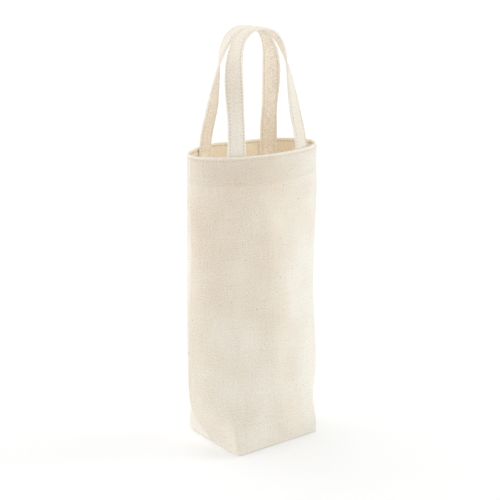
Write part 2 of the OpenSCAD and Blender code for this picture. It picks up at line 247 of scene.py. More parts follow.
def bridge(one, two, pts):
    """Triangles between two rows of points of a closed section."""
    faces, i, j = [], 0, 0
    while i < len(one) - 1 or j < len(two) - 1:
        if j == len(two) - 1 or (i < len(one) - 1 and
                                 np.linalg.norm(pts[one[i + 1]] - pts[two[j]])
                                 <= np.linalg.norm(pts[one[i]] - pts[two[j + 1]])):
            faces.append((one[i], one[i + 1], two[j]))
            i += 1
        else:
            faces.append((one[i], two[j + 1], two[j]))
            j += 1
    return faces


def place_in_scene(name, data):
    obj = bpy.data.objects.new(name, data)
    bpy.context.scene.collection.objects.link(obj)
    return obj


class Build:
    """Collects the shells of one piece: points and cloth coordinates in millimetres, painted
    highlight to 1.
    """

    MERGE, SHARP = 0.004, 40  # millimetres between points that are one, degrees of a sharp edge

    def __init__(self):
        self.points, self.cloth, self.wear, self.faces, self.count = [], [], [], [], 0

    def add(self, points, cloth, faces, wear=0.0):
        points = np.asarray(points, float).reshape(-1, 3)
        self.points.append(points)
        self.cloth.append(np.asarray(cloth, float).reshape(-1, 3))
        wear = np.asarray(wear, float).reshape(-1)
        self.wear.append(np.broadcast_to(wear, (len(points),)))
        self.faces += [tuple(int(v) + self.count for v in f) for f in faces]
        self.count += len(points)

    def piece(self, name, body, nodes, material):
        mesh = bpy.data.meshes.new(name)
        mesh.from_pydata((np.concatenate(self.points) * MM).tolist(), [], self.faces)
        cloth = mesh.attributes.new("cloth", "FLOAT_VECTOR", "POINT")
        values = np.concatenate(self.cloth) * MM
        cloth.data.foreach_set("vector", values.astype(np.float32).ravel())
        wear = mesh.attributes.new("wear", "FLOAT", "POINT")
        wear.data.foreach_set("value", np.concatenate(self.wear).astype(np.float32))
        bm = bmesh.new()
        bm.from_mesh(mesh)
        bmesh.ops.remove_doubles(bm, verts=bm.verts, dist=self.MERGE * MM)
        bmesh.ops.dissolve_degenerate(bm, edges=bm.edges, dist=self.MERGE * MM)
        bmesh.ops.recalc_face_normals(bm, faces=bm.faces)
        bm.to_mesh(mesh)
        bm.free()
        mesh.shade_smooth()
        mesh.set_sharp_from_angle(angle=math.radians(self.SHARP))
        mesh.materials.append(material)
        obj = place_in_scene(name, mesh)
        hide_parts(*nodes)
        if body:
            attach(obj, body)
        return obj


# ------------ materials
def srgb(r, g, b):
    def linear(c):
        c /= 255
        return c / 12.92 if c <= 0.04045 else ((c + 0.055) / 1.055) ** 2.4
    return (linear(r), linear(g), linear(b), 1.0)


class Nodes:
    """Short ways to add nodes to a tree. Inputs are numbers, vectors or other nodes' outputs."""

    def __init__(self, tree):
        self.tree = tree

    def feed(self, node, inputs):
        """Set a node's inputs, which are given by their names or numbers."""
        for key, value in inputs.items():
            if isinstance(value, bpy.types.NodeSocket):
                self.tree.links.new(value, node.inputs[key])
            else:
                node.inputs[key].default_value = value

    def node(self, kind, inputs=None, **settings):
        n = self.tree.nodes.new(kind)
        for key, value in settings.items():
            setattr(n, key, value)
        self.feed(n, inputs or {})
        return n

    def math(self, operation, a, b=0.0, c=0.0, clamp=False):
        settings = {"operation": operation, "use_clamp": clamp}
        return self.node("ShaderNodeMath", {0: a, 1: b, 2: c}, **settings).outputs[0]

    def mix(self, factor, a, b, blend="MIX"):
        settings = {"data_type": "RGBA", "blend_type": blend}
        return self.node("ShaderNodeMix", {0: factor, 6: a, 7: b}, **settings).outputs[2]

    def mix_shader(self, factor, a, b):
        return self.node("ShaderNodeMixShader", {0: factor, 1: a, 2: b}).outputs[0]

    def ramp(self, value, low, high, to_low=0.0, to_high=1.0):
        inputs = dict(enumerate((value, low, high, to_low, to_high)))
        n = self.node("ShaderNodeMapRange", inputs, interpolation_type="SMOOTHSTEP")
        return n.outputs[0]

    def vector(self, x, y, z=0.0):
        return self.node("ShaderNodeCombineXYZ", {0: x, 1: y, 2: z}).outputs[0]

    def noise(self, vector, scale, detail=2.0):
        inputs = {"Vector": vector, "Scale": scale, "Detail": detail, "Roughness": 0.5}
        return self.node("ShaderNodeTexNoise", inputs).outputs["Fac"]

    def bump(self, height, strength, distance):
        inputs = {"Height": height, "Strength": strength, "Distance": distance}
        return self.node("ShaderNodeBump", inputs)

    def attribute(self, name, output):
        return self.node("ShaderNodeAttribute", attribute_name=name).outputs[output]

    def cloth(self):
        """The three cloth coordinates, in millimetres."""
        split = self.node("ShaderNodeSeparateXYZ", {0: self.attribute("cloth", "Vector")})
        return [self.math("MULTIPLY", socket, 1000.0) for socket in split.outputs]


def new_material(name):
    material = bpy.data.materials.new(name)
    material.use_nodes = True
    n = Nodes(material.node_tree)
    return material, n, n.tree.nodes["Principled BSDF"]


YARN = 0.62  # width of one yarn of the canvas
SLUB_ACROSS, SLUB_ALONG = 1.3, 0.035  # how often a yarn's slubs change in a millimetre
DRIFT = 2.2  # how far the yarns wander, in radians of the weave
PLY = 0.7  # length of one turn of the sewing thread
# the colour of the painted shade in a needle hole, and the tint of the painted highlight on edges
HOLE_SHADE, HIGHLIGHT_TINT = srgb(150, 128, 100), srgb(253, 250, 242)
# flecks of seed coat: size of their cells, of a fleck, share of the cells that have none, colour
FLECKS = ((5.0, 0.45, 0.72, srgb(146, 116, 84)), (2.6, 0.34, 0.55, srgb(172, 146, 114)))


def canvas(name, outer, warm, inner, rows, pitch, along_u, hem=None):
    """Natural canvas. Attribute cloth gives its u and v and which face it is.

    Its outer face lies between the colours outer and warm. Its inner face has the colour inner, a
    painted light, brighter and warmer than the cloth, for the light inside the bag. rows gives for
    each row of stitches its v, or its u where the rows don't run along u, and how dark its painted
    shade of holes and groove is outside and inside.
    From v = hem on the cloth lies threefold and has a little painted shade; given hem, the outer
    face also has painted shade towards the mouth and painted light on the right.
    """
    material, n, shader = new_material(name)
    u, v, face = n.cloth()
    place = n.vector(u, v, face)

    def by_face(inner_value, outer_value):
        return n.ramp(face, -12.0, -4.0, inner_value, outer_value)

    # yarns: each is thicker and thinner along its length, so the weave isn't a perfect grid
    slubs = [n.noise(n.vector(n.math("MULTIPLY", u, a), n.math("MULTIPLY", v, b), face), 1.0, 3.0)
             for a, b in ((SLUB_ACROSS, SLUB_ALONG), (SLUB_ALONG, SLUB_ACROSS))]
    slub = n.math("ADD", *(n.math("MULTIPLY", part, 0.5) for part in slubs))
    drift = n.noise(place, 0.35)
    yarns = [n.math("SINE", n.math("MULTIPLY_ADD", along, math.pi / YARN,
                                   n.math("MULTIPLY", drift, shift)))
             for along, shift in ((u, DRIFT), (v, -DRIFT))]
    weave = n.math("MULTIPLY_ADD", n.math("MULTIPLY", *yarns), 0.5, 0.5)

    broad = n.noise(n.vector(n.math("ADD", u, 140.0), v, face), 0.022, 3.0)
    tone = n.ramp(broad, 0.25, 0.75, 0.2, 0.7)
    shade = n.math("MULTIPLY_ADD", slub, 0.3, 0.85)
    if hem is not None:
        # painted shade: the outer face is painted warmer and darker towards the mouth, where the
        # front's upper part lies in shade
        tone = n.math("ADD", tone, n.ramp(v, 0.0, hem, -0.25, 0.25))
        # painted light: the outer face is painted paler on the right, past a soft slanting edge,
        # where the wall turns towards the light
        aslant = n.math("MULTIPLY_ADD", v, 0.1, u)
        lit_right = n.ramp(aslant, half_run * 0.58, half_run * 0.84, 0.06, -0.48)
        tone = n.math("ADD", tone, lit_right, clamp=True)
        # painted shade: the threefold hem is painted a little darker, for the less light that comes
        # through three layers
        shade = n.math("MULTIPLY", shade, n.ramp(v, hem - 0.8, hem + 0.8, 1.0, 0.96))
    # painted light: the inner face takes the colour inner, brighter and warmer than the outer, for
    # the light between the bag's walls and through its cloth
    colour = n.mix(by_face(1.0, 0.0), n.mix(tone, outer, warm), inner)
    shade = n.math("MULTIPLY", shade, n.math("MULTIPLY_ADD", weave, 0.025, 0.975))
    shade = n.math("MULTIPLY", shade, n.math("MULTIPLY_ADD", n.noise(place, 1.1), 0.8, 0.6))
    grey = n.node("ShaderNodeCombineColor", {0: shade, 1: shade, 2: shade}).outputs[0]
    colour = n.mix(1.0, colour, grey, "MULTIPLY")

    for cell, size, none, fleck in FLECKS:
        at = n.vector(n.math("DIVIDE", u, cell), n.math("DIVIDE", v, cell * 1.6),
                      n.math("DIVIDE", face, cell))
        cells = n.node("ShaderNodeTexVoronoi", {"Vector": at, "Scale": 1.0})
        part = n.node("ShaderNodeSeparateColor", {0: cells.outputs["Color"]}).outputs[0]
        chosen = n.math("GREATER_THAN", part, none)
        dot = n.ramp(cells.outputs["Distance"], size / cell * 0.5, size / cell, 1.0, 0.0)
        colour = n.mix(n.math("MULTIPLY", n.math("MULTIPLY", dot, chosen), 0.75), colour, fleck)

    # needle holes painted dark, a painted shade in each hole, and the painted shade of the groove
    # along each row of stitches
    along, over = (u, v) if along_u else (v, u)
    step = n.math("FRACT", n.math("DIVIDE", along, pitch))
    step = n.math("ABSOLUTE", n.math("SUBTRACT", step, 0.5))
    gap = n.math("MULTIPLY", n.math("SUBTRACT", 0.5, step), pitch)  # to the nearest hole
    marks = []
    for row, outer_dark, inner_dark in rows:
        away = n.math("SUBTRACT", over, row)
        squares = n.math("MULTIPLY", away, away), n.math("MULTIPLY", gap, gap)
        hole_shade = n.ramp(n.math("SQRT", n.math("ADD", *squares)), 0.25, 0.6, 1.0, 0.0)
        line = n.ramp(n.math("ABSOLUTE", away), 0.2, 0.9, 0.12, 0.0)
        mark = n.math("MAXIMUM", hole_shade, line)
        marks.append(n.math("MULTIPLY", mark, by_face(inner_dark, outer_dark)))
    mark = n.math("MAXIMUM", *marks)
    colour = n.mix(mark, colour, HOLE_SHADE)

    # painted highlight: a pale tint, in patches, where light catches the rim's fold, the soft edge
    # above the floor, the seam ridges and the straps' edges
    patch = n.ramp(n.noise(place, 0.4, 3.0), 0.35, 0.7)
    wear = n.attribute("wear", "Fac")
    painted_highlight = n.math("MULTIPLY", wear, n.math("MULTIPLY_ADD", patch, 0.4, 0.6))
    colour = n.mix(n.math("MULTIPLY", painted_highlight, 0.8), colour, HIGHLIGHT_TINT)

    height = n.math("ADD", weave, n.math("MULTIPLY", slub, 1.4))
    height = n.math("SUBTRACT", height, n.math("MULTIPLY", mark, 0.8))
    bump = n.bump(height, 0.4, 0.00016)
    fine = n.bump(n.noise(place, 0.16, 3.0), 0.35, 0.0012)
    n.feed(fine, {"Normal": bump.outputs["Normal"]})
    n.feed(shader, {"Base Color": colour, "Roughness": n.math("MULTIPLY_ADD", slub, 0.12, 0.82),
                    "Specular IOR Level": 0.25, "Sheen Weight": 0.12, "Sheen Roughness": 0.6,
                    "Normal": fine.outputs["Normal"]})
    return material


def cotton_thread(name, base, dark):
    """Twisted sewing thread. Attribute cloth gives the angle round it and the run along it."""
    material, n, shader = new_material(name)
    turn, along = n.cloth()[:2]
    ply = n.math("SINE", n.math("MULTIPLY_ADD", along, 2 * math.pi / PLY, turn))
    ply = n.math("MULTIPLY_ADD", ply, 0.5, 0.5)
    fuzz = n.noise(n.vector(turn, along), 1.7, 3.0)
    colour = n.mix(n.math("MULTIPLY", ply, 0.5), base, dark)
    colour = n.mix(n.ramp(fuzz, 0.4, 0.75, 0.0, 0.3), colour, dark)
    n.feed(shader, {"Base Color": colour, "Roughness": n.math("MULTIPLY_ADD", fuzz, 0.2, 0.6),
                    "Specular IOR Level": 0.3, "Sheen Weight": 0.1,
                    "Normal": n.bump(ply, 0.6, 0.0001).outputs["Normal"]})
    return material


# the inner colours are painted light, brighter and warmer than the outer ones, for the light inside
# the bag and through the cloth
panel_canvas = canvas("body_canvas", srgb(245, 239, 228), srgb(234, 220, 201),
                      srgb(255, 243, 222), ((rim_row, 0.5, 1.0), (hem_row, 0.05, 0.5)),
                      PITCH, True, hem_foot)
strap_canvas = canvas("handle_canvas", srgb(248, 242, 231), srgb(238, 226, 209),
                      srgb(250, 240, 226), ((-strap_row, 0.6, 0.3), (strap_row, 0.5, 0.3)),
                      STRAP_PITCH, False)
sewing_thread = cotton_thread("sewing_thread", srgb(242, 236, 223), srgb(220, 208, 186))
overlock_thread = cotton_thread("overlock_thread", srgb(243, 238, 227), srgb(210, 199, 178))


# ------------ the two panels
RIM_ROWS = 7
GROOVES, GROOVE_W = ((rim_row, 0.2), (hem_row, 0.08)), 0.9


def groove(z):
    """The hem's rows of stitches draw the cloth in a little."""
    return sum(depth * np.exp(-((z - row) / GROOVE_W) ** 2) for row, depth in GROOVES)


def profile():
    """Rows of a panel's wall: height, depth of the outer face, depth of the inner face."""
    rows = []
    for a in math.pi / 2 * np.arange(9) / 8:  # the soft edge above the floor
        out = EDGE_R * (1 - math.sin(a))
        rows.append((EDGE_R * (1 - math.cos(a)), out, max(out + 0.5, cloth_t)))
    single = (4.6, 6.0, 8.0, 10.5, 13.5, 17.0, *np.linspace(20, hem_foot - 4, 76),
              hem_foot - 2, hem_foot - 0.3)
    rows += [(z, 0.0, cloth_t) for z in single]
    rows += [(hem_foot, 0.0, hem_t - 0.7), (hem_foot + 0.35, 0.0, hem_t - 0.2)]
    threefold = (hem_foot + 1.0, *np.arange(hem_foot + 1.6, bag_h - RIM_R - 0.3, 0.6))
    rows += [(z, 0.0, hem_t) for z in threefold]
    for a in math.pi / 2 * np.arange(RIM_ROWS) / (RIM_ROWS - 1):  # the fold of the rim
        out = RIM_R * (1 - math.cos(a))
        rows.append((bag_h - RIM_R + RIM_R * math.sin(a), out, hem_t - out))
    z, out, inner = np.array(rows).T
    return z, out + groove(z), inner - groove(z) * (z > hem_foot)


def panel(half, turn, seed):
    """One cloth: wall, hem, half of the floor and its share of every seam allowance."""
    z, out, inner = profile()
    m = len(z)
    runs = np.linspace(SEAM_R, half_run - SEAM_R, 139)
    end = seam_x(z)
    # a side allowance is seam_w wide below the hem, and in it ends just past the hem's layers
    reach = np.where(z < hem_foot - 0.5, seam_w, hem_t + cloth_t)
    in_rim = hem_t + cloth_t - (inner[-RIM_ROWS - 1] - inner)
    reach = np.where(z > bag_h - RIM_R, in_rim, reach)
    root, tip = end - out - SEAM_R, end - reach
    near, far = -seam_gap / 2, -seam_gap / 2 - cloth_t
    # its tip ripples a little
    lift = 0.18 * np.sin(z / 13 + seed) * smooth((z - 12) / 20) * smooth((hem_foot - z) / 10)
    # painted highlight along the fold of the rim and the soft edge above the floor
    edge_highlight = np.exp(-((z - bag_h) / 1.5) ** 2) + 0.8 * np.exp(-(z / 2.5) ** 2)

    def column(points, u, face, wear=0.0):
        cloth = np.stack([np.broadcast_to(u, m), z, np.full(m, face)], -1)
        return points, cloth, np.clip(edge_highlight + wear, 0, 1)

    def side_column(side, x, y, back, face=0.0, wear=0.0):
        """A column of a side allowance, whose cloth lies back from the end of the wall's."""
        points = np.stack([x * side, np.broadcast_to(y, m), z], -1)
        return column(points, -back if side < 0 else half_run + back, face, wear)

    def allowance(side):
        """Columns of its near face, from its tip to the wall, and of its far face, also from it."""
        near_face = [side_column(side, tip + share * (root - tip), near + lift * (1 - share),
                                 reach * (1 - share)) for share in (0.0, 0.35, 0.7)]
        # where the panel turns into its seam allowance it gets half the painted highlight
        near_face += [side_column(side, root - SEAM_R * np.cos(a),
                                  near - SEAM_R + SEAM_R * np.sin(a), 0.0, wear=0.5)
                      for a in np.radians([90, 112, 135, 158])]
        far_face = [side_column(side, tip - 0.25, (near + far) / 2 + lift, reach)]
        far_face += [side_column(side, tip + share * (end - inner - 0.15 - tip),
                                 far + lift * (1 - share), reach * (1 - share), INNER)
                     for share in (0.0, 0.5, 1.0)]
        return near_face, far_face

    def wall_columns(places, depth, face):
        return [column(wall(np.full(m, place), z, depth), run, face)
                for place, run in zip(places, runs)]

    (left_near, left_far), (right_near, right_far) = allowance(-1), allowance(1)
    clear = 0.5 - far  # the inner face stays clear of the allowances
    outer = left_near + wall_columns(runs, out, 0.0) + right_near[::-1]
    under = right_far + wall_columns(np.clip(runs, clear, half_run - clear), inner, INNER)[::-1] \
        + left_far[::-1]
    points, cloth, highlights = (np.stack(part, 1) for part in zip(*outer, *under))
    points = on_bag(points, turn)
    n = len(outer) + len(under)
    faces = grid_faces(m, n, close_cols=True).tolist()
    for row in (0, (m - 1) * n):  # the wall's foot and the fold of the rim are closed
        faces += bridge([row + k for k in range(len(outer))],
                        [row + k for k in range(n - 1, len(outer) - 1, -1)],
                        points.reshape(-1, 3))
    b = Build()
    b.add(points, cloth, faces, highlights)
    floor_half(b, turn)
    bottom_allowance(b, turn, seed)
    for side in (-1, 1):
        corner_allowance(b, turn, side, seed)
    return b.piece(half + "_cloth", "bag", [half + "_panel"], panel_canvas)


def slab(b, top, cloth, thick, turn):
    """A thin closed shell with a rounded rim: top is a grid of points of its upper face."""
    rows, cols = top.shape[:2]
    n = rows * cols
    top, cloth, ring = top.reshape(-1, 3), cloth.reshape(-1, 3), border(rows, cols)
    grow = top[ring] - top[ring].mean(0)
    grow[:, 2] = 0
    grow /= np.maximum(np.linalg.norm(grow, axis=1, keepdims=True), 1e-6)
    belt = top[ring] + grow * 0.2 - np.array([0, 0, thick / 2])
    flat = grid_faces(rows, cols)
    faces = flat.tolist() + (flat[:, ::-1] + n).tolist()
    for k, (one, two) in enumerate(zip(ring, ring[1:] + ring[:1])):
        low, high = 2 * n + k, 2 * n + (k + 1) % len(ring)
        faces += [(one, low, high, two), (low, n + one, n + two, high)]
    b.add(on_bag(np.concatenate([top, top - np.array([0, 0, thick]), belt]), turn),
          np.concatenate([cloth, cloth + [0, 0, INNER], cloth[ring]]), faces)


def floor_half(b, turn):
    """Half of the bag's floor, within the wall's soft edge."""
    inset = EDGE_R - 0.7
    r = base_r - inset
    ys = np.linspace(-base_d / 2 + inset, -seam_gap / 2, 21)
    past = np.clip(-base_side - ys, 0, r)
    wide = base_w / 2 - inset - (r - np.sqrt(r ** 2 - past ** 2))
    x = np.linspace(-1, 1, 37)[None] * wide[:, None]
    y = np.broadcast_to(ys[:, None], x.shape)
    top = np.stack([x, y, np.full_like(x, cloth_t)], -1)
    cloth = np.stack([x + half_run / 2, -base_d / 2 - y - 3, np.zeros_like(x)], -1)
    slab(b, top, cloth, cloth_t - 0.02, turn)


def bottom_allowance(b, turn, seed):
    """The allowance of the seam across the floor, which stands up in a low ridge."""
    x = np.linspace(-base_w / 2 + 2.5, base_w / 2 - 2.5, 41)
    up = np.array([0.45, 2.0, 3.5, 5.0, 6.5, 7.6, seam_w])
    lean = 0.5 * np.sin(x / 9 + seed)[:, None] * (up / seam_w) ** 2
    x, up = np.meshgrid(x, up, indexing="ij")
    near = np.stack([x, np.minimum(lean, 0) - seam_gap / 2, cloth_t + up], -1)
    cloth = np.stack([x + half_run / 2, -base_d / 2 - up, np.zeros_like(x)], -1).reshape(-1, 3)
    n, ring = x.size, border(*x.shape)
    points = np.stack([near, near + np.array([0, -cloth_t, 0])])
    flat = grid_faces(*x.shape)
    faces = flat.tolist() + (flat[:, ::-1] + n).tolist()
    faces += [(one, n + one, n + two, two) for one, two in zip(ring, ring[1:] + ring[:1])]
    b.add(on_bag(points, turn), np.concatenate([cloth, cloth]), faces)


def corner_allowance(b, turn, side, seed):
    """Two layers of the boxed corner's seam, lying on the floor along the side of the base."""
    for layer in range(2):
        x = np.linspace(base_w / 2 - 2.3, base_w / 2 - seam_w - 0.35 * layer, 7)
        y = np.linspace(-base_side + 1.5, -1.2, 21)
        x, y = np.meshgrid(x, y, indexing="ij")
        inward = (base_w / 2 - x) / seam_w
        y = -base_side / 2 - 0.5 + (y + base_side / 2 + 0.5) * (1 - 0.33 * np.clip(inward, 0, 1))
        lie = 0.18 * np.sin(y / 5 + seed + 2 * layer) * inward
        z = cloth_t * (2 + layer) + 0.05 + np.maximum(lie, -0.03) + 0.12 * layer * inward
        cloth = np.stack([y, x, np.full_like(x, 3.0 * layer)], -1)
        slab(b, np.stack([x * side, y, z], -1), cloth, cloth_t - 0.06, turn)


# ------------ threads
ROW_SINK = 0.15  # the rows round the hem start that deep in the cloth
SIDE_LINE, BOTTOM_LINE, CORNER_LINE = 2.3, 1.6, 2.6  # the seams' stitches lie that far in
STITCH_SHARE, STITCH_SINK, STITCH_RISE = 0.78, 0.22, 0.1  # of the pitch; mm at its ends, middle
PLY_SHIFT = 1.37  # from stitch to stitch the thread's twist runs on by that
OVERLOCK_PITCH, OVERLOCK_R, CHAIN_R = 2.1, 0.17, 0.15


def tube(b, path, normal, radius, sides=6, start=0.0):
    """A thread along a path. normal is any direction across it; radius may change along it."""
    way = unit(np.gradient(path, axis=0))
    normal = unit(normal - (normal * way).sum(1, keepdims=True) * way)
    cross = np.cross(way, normal)
    a = np.arange(sides) * 2 * math.pi / sides
    radius = np.broadcast_to(radius, (len(path),))[:, None, None]
    ring = path[:, None] + radius * (np.cos(a)[None, :, None] * cross[:, None]
                                     + np.sin(a)[None, :, None] * normal[:, None])
    run = start + runs_of(path)
    cloth = np.stack(np.broadcast_arrays(a[None, :], run[:, None], 0.0), -1)
    last = (len(path) - 1) * sides
    faces = grid_faces(len(path), sides, close_cols=True).tolist()
    faces += [tuple(range(sides))[::-1], tuple(last + k for k in range(sides))]
    b.add(ring, cloth, faces)


def stitches(b, at, count, pitch, start=0.0):
    """A row of stitches: at(t) gives points on the cloth and directions out of it at runs t."""
    s = np.array([0.0, 0.12, 0.3, 0.5, 0.7, 0.88, 1.0])
    low, high = -STITCH_SINK, STITCH_RISE
    height = np.array([low, 0.3 * high, high, high, high, 0.3 * high, low])
    girth = thread_d / 2 * np.array([0.75, 1.0, 1.0, 1.0, 1.0, 1.0, 0.75])
    for k in range(count):
        middle = start + (k + 0.5) * pitch
        p, out = at(middle + (s - 0.5) * STITCH_SHARE * pitch)
        tube(b, p + out * height[:, None], out, girth, start=k * PLY_SHIFT)


leg_x = leg_span / 2
leg_wall_y = -mouth_d / 2 * math.sqrt(1 - (2 * leg_x / mouth_w) ** 2)
leg_angle = math.atan((mouth_d / mouth_w) ** 2 * leg_x / -leg_wall_y)
leg_run = half_run - float(run_of_angle(2 * math.pi - math.acos(2 * leg_x / mouth_w)))


def on_wall(z, depth, further, turn):
    """Points at a depth of the wall and a height; their directions lead to a further depth."""
    def at(t):
        base = on_bag(wall(t, z, depth), turn)
        return base, unit(on_bag(wall(t, z, further), turn) - base)
    return at


def hem_rows(name, z, node):
    """A row round the hem: outside all along, inside only between the ends of the straps."""
    b = Build()
    room = strap_w / 2 + 0.8
    for turn in (0, 180):
        # here the directions lead into the cloth, so outside the stitches curve inwards
        stitches(b, on_wall(z, ROW_SINK, ROW_SINK + 0.5, turn), HEM_STITCHES, PITCH)
        inside = on_wall(z, hem_t - ROW_SINK, hem_t + 0.5, turn)
        for low, high in ((cloth_t + 3, leg_run - room),
                          (leg_run + room, half_run - leg_run - room),
                          (half_run - leg_run + room, half_run - cloth_t - 3)):
            first, last = math.ceil(low / PITCH), math.floor(high / PITCH)
            stitches(b, inside, last - first, PITCH, start=first * PITCH)
    b.piece(name, "bag", [node], sewing_thread)


def side_row(side, face):
    """The lockstitch of a side seam, on one of the faces of its two allowances."""
    def at(t):
        x = (seam_x(t) - SIDE_LINE) * side
        y = np.full_like(t, face * (seam_gap / 2 + cloth_t))
        p = on_bag(np.stack([x, y, t], -1))
        return p, unit(on_bag(np.stack([x, y + face * 0.5, t], -1)) - p)
    return at


def bottom_row(face):
    """The lockstitch of the seam across the floor, on one of its faces."""
    def at(t):
        y = np.full_like(t, face * (seam_gap / 2 + cloth_t))
        p = on_bag(np.stack([t, y, np.full_like(t, cloth_t + BOTTOM_LINE)], -1))
        return p, np.broadcast_to(np.array([0.0, face, 0.0]), p.shape)
    return at


def corner_row(side, half):
    """The stitches of a boxed corner's seam, seen on its upper layer."""
    def at(t):
        x = np.full_like(t, (base_w / 2 - CORNER_LINE) * side)
        p = on_bag(np.stack([x, t * half, np.full_like(t, 3 * cloth_t + 0.1)], -1))
        return p, np.broadcast_to(np.array([0.0, 0.0, 1.0]), p.shape)
    return at


def seam_rows(seam, rows, low, high):
    """A seam's rows of stitches, from low to high."""
    b = Build()
    count = int((high - low) / SEAM_PITCH)
    for at in rows:
        stitches(b, at, count, (high - low) / count, start=low)
    b.piece(seam + "_stitches", "bag", [seam + "_stitching"], sewing_thread)


def overlock(name, node, place, low, high):
    """Three threads that wrap the edge of an allowance in slanting loops.

    place(t, e, o) puts a point at run t, e back from the edge and o out of the seam's middle.
    """
    b = Build()
    half = seam_gap / 2 + cloth_t + 0.22
    count = int((high - low) / OVERLOCK_PITCH)
    back, mid = overlock_w - 0.3, overlock_w * 0.55
    # the loop in one pitch: share of the pitch, back from the edge, out of the middle over half
    loop = np.array([
        (0.0, back, 1), (0.12, mid, 1), (0.22, 0.5, 1.02), (0.27, -0.15, 0.6),
        (0.3, -0.32, 0), (0.33, -0.15, -0.6), (0.38, 0.5, -1.02), (0.48, mid, -1),
        (0.6, back, -1), (0.68, mid, -1), (0.76, 0.5, -1.04), (0.8, -0.2, -0.6),
        (0.83, -0.38, 0), (0.86, -0.2, 0.6), (0.9, 0.5, 1.04), (0.95, mid, 1.02)])
    k = np.arange(count)[:, None]
    t = (low + (k + loop[None, :, 0]) * (high - low) / count).ravel()
    e, o = np.tile(loop[:, 1], count), np.tile(loop[:, 2] * half, count)
    path = place(t, e, o)
    outer = place(t, e - 0.5 * (np.abs(o) < half * 0.9), o * 1.5)
    tube(b, path, outer - path + 1e-6, OVERLOCK_R, sides=5)
    t = np.linspace(low, high, count * 4)
    sway = 0.16 * np.sin(np.linspace(0, count * 2 * math.pi, len(t)))
    for face in (-1, 1):  # the needle thread's chain along the inner side of the loops
        line = place(t, overlock_w - 0.35 + sway, np.full_like(t, face * (half + 0.08)))
        outer = place(t, np.full_like(t, overlock_w), np.full_like(t, face * (half + 2)))
        tube(b, line, outer - line, CHAIN_R, sides=5)
    b.piece(name, "bag", [node], overlock_thread)


def side_place(side):
    def place(t, e, o):
        return on_bag(np.stack([(seam_x(t) - seam_w + e) * side, o * side, t], -1))
    return place


def bottom_place(t, e, o):
    return on_bag(np.stack([t, o, seam_top - e], -1))


def corner_place(side, half):
    def place(t, e, o):
        x = (base_w / 2 - seam_w - 0.3 + e) * side
        return on_bag(np.stack([x, half * t, 2 * cloth_t + 0.05 + o * 0.9], -1))
    return place


# ------------ the straps
leg_out = np.array([math.sin(leg_angle), -math.cos(leg_angle)])
leg_curve_r = ((mouth_w * leg_wall_y / mouth_d) ** 2 + (mouth_d * leg_x / mouth_w) ** 2) ** 1.5 \
    / (mouth_w * mouth_d / 4)
leg_hollow = strap_w ** 2 / (8 * leg_curve_r)
leg_in = hem_t + seat_gap + leg_hollow + strap_t / 2
leg_mid = np.array([leg_x, leg_wall_y]) - leg_in * leg_out
fold_y = leg_wall_y + hem_t / 2 * math.cos(leg_angle)
leg_reach = leg_mid[1] - fold_y + strap_t / 2 * math.cos(leg_angle) \
    + strap_w / 2 * math.sin(leg_angle)
fold_r = leg_reach + fold_margin
fold_z = bag_h + fold_r + fold_clear

arch = np.array([0, -(strap_w + handle_gap) / 2, bag_h + handle_h - strap_t / 2])
curve = np.array([[leg_mid[0], leg_mid[1], fold_z],
                  [leg_mid[0] * leg_draw, leg_mid[1] + (arch[1] - leg_mid[1]) * leg_lean,
                   fold_z + (arch[2] - fold_z) * leg_rise],
                  [leg_mid[0] * arch_draw, arch[1], arch[2]],
                  arch])

STRAP_EDGE, STRAP_EDGE_HIGHLIGHT = 0.95, 1.1  # rounding of a strap's edges, and how far in their painted highlight reaches
ROW_DEPTH, ROW_W = 0.24, 0.75  # the groove that a row of stitches draws
# the soft lie of a handle: size of each wave, and its length over 2 pi
WOBBLE, TILT, WIDER = (0.35, 27), (math.radians(2.4), 33), (0.012, 11)
# where the top of each handle hangs from its middle place, in the strap's own directions
HANG = {0: np.array([-0.8, 1.0, 0.6]), 180: np.array([-1.0, 0.0, -0.4])}
TWIST = -13.0  # how far one leg of each handle is turned, above the fold


def strap_frames():
    """Middle, outward and across directions of half a strap, from its sewn end to its top."""
    s = np.linspace(0, 1, 61)[:, None]
    c = curve
    pts = (1 - s) ** 3 * c[0] + 3 * s * (1 - s) ** 2 * c[1] + 3 * s ** 2 * (1 - s) * c[2] \
        + s ** 3 * c[3]
    way = unit((1 - s) ** 2 * (c[1] - c[0]) + 2 * s * (1 - s) * (c[2] - c[1])
               + s ** 2 * (c[3] - c[2]))
    up, ahead = np.array([0, 0, 1.0]), smooth(s / 0.12)
    way = unit(way * ahead + up * (1 - ahead))
    a = leg_angle + (math.pi / 2 - leg_angle) * smooth((s - 0.1) / 0.8)
    low = np.linspace(hem_foot + end_rise, fold_z, 20)[:-1]
    leg = np.stack([np.full_like(low, leg_mid[0]), np.full_like(low, leg_mid[1]), low], -1)
    pts = np.concatenate([leg, pts])
    way = np.concatenate([np.tile(up, (len(low), 1)), way])
    a = np.concatenate([np.full((len(low), 1), leg_angle), a])
    z = pts[:, 2]
    bend = smooth((z - rim_row + 8) / 10) * (1 - smooth((z - fold_z - 12) / 12))
    for _ in range(60):  # the cloth bends softly over the fold
        pts[1:-1] += 0.5 * bend[1:-1, None] * ((pts[:-2] + pts[2:]) / 2 - pts[1:-1])
    way = np.where(bend[:, None] > 0, unit(np.gradient(pts, axis=0)), way)
    front = unit(np.array([0, -1.0, 0]) + way[:, 1:2] * way)
    out = np.cos(a) * front + np.sin(a) * np.cross(way, front)
    return pts, out, np.cross(way, out)


strap_pts, strap_out, strap_across = strap_frames()
strap_runs = runs_of(strap_pts)
strap_free = smooth((strap_pts[:, 2] - fold_z - 6) / 30)
arch_run = strap_runs[-1]


def pressed(z):
    """Where a strap's inner face lies, in halves of its thickness: the sewn end is pressed flat."""
    return -0.3 + 1.3 * smooth((z - rim_row + 5) / 8)


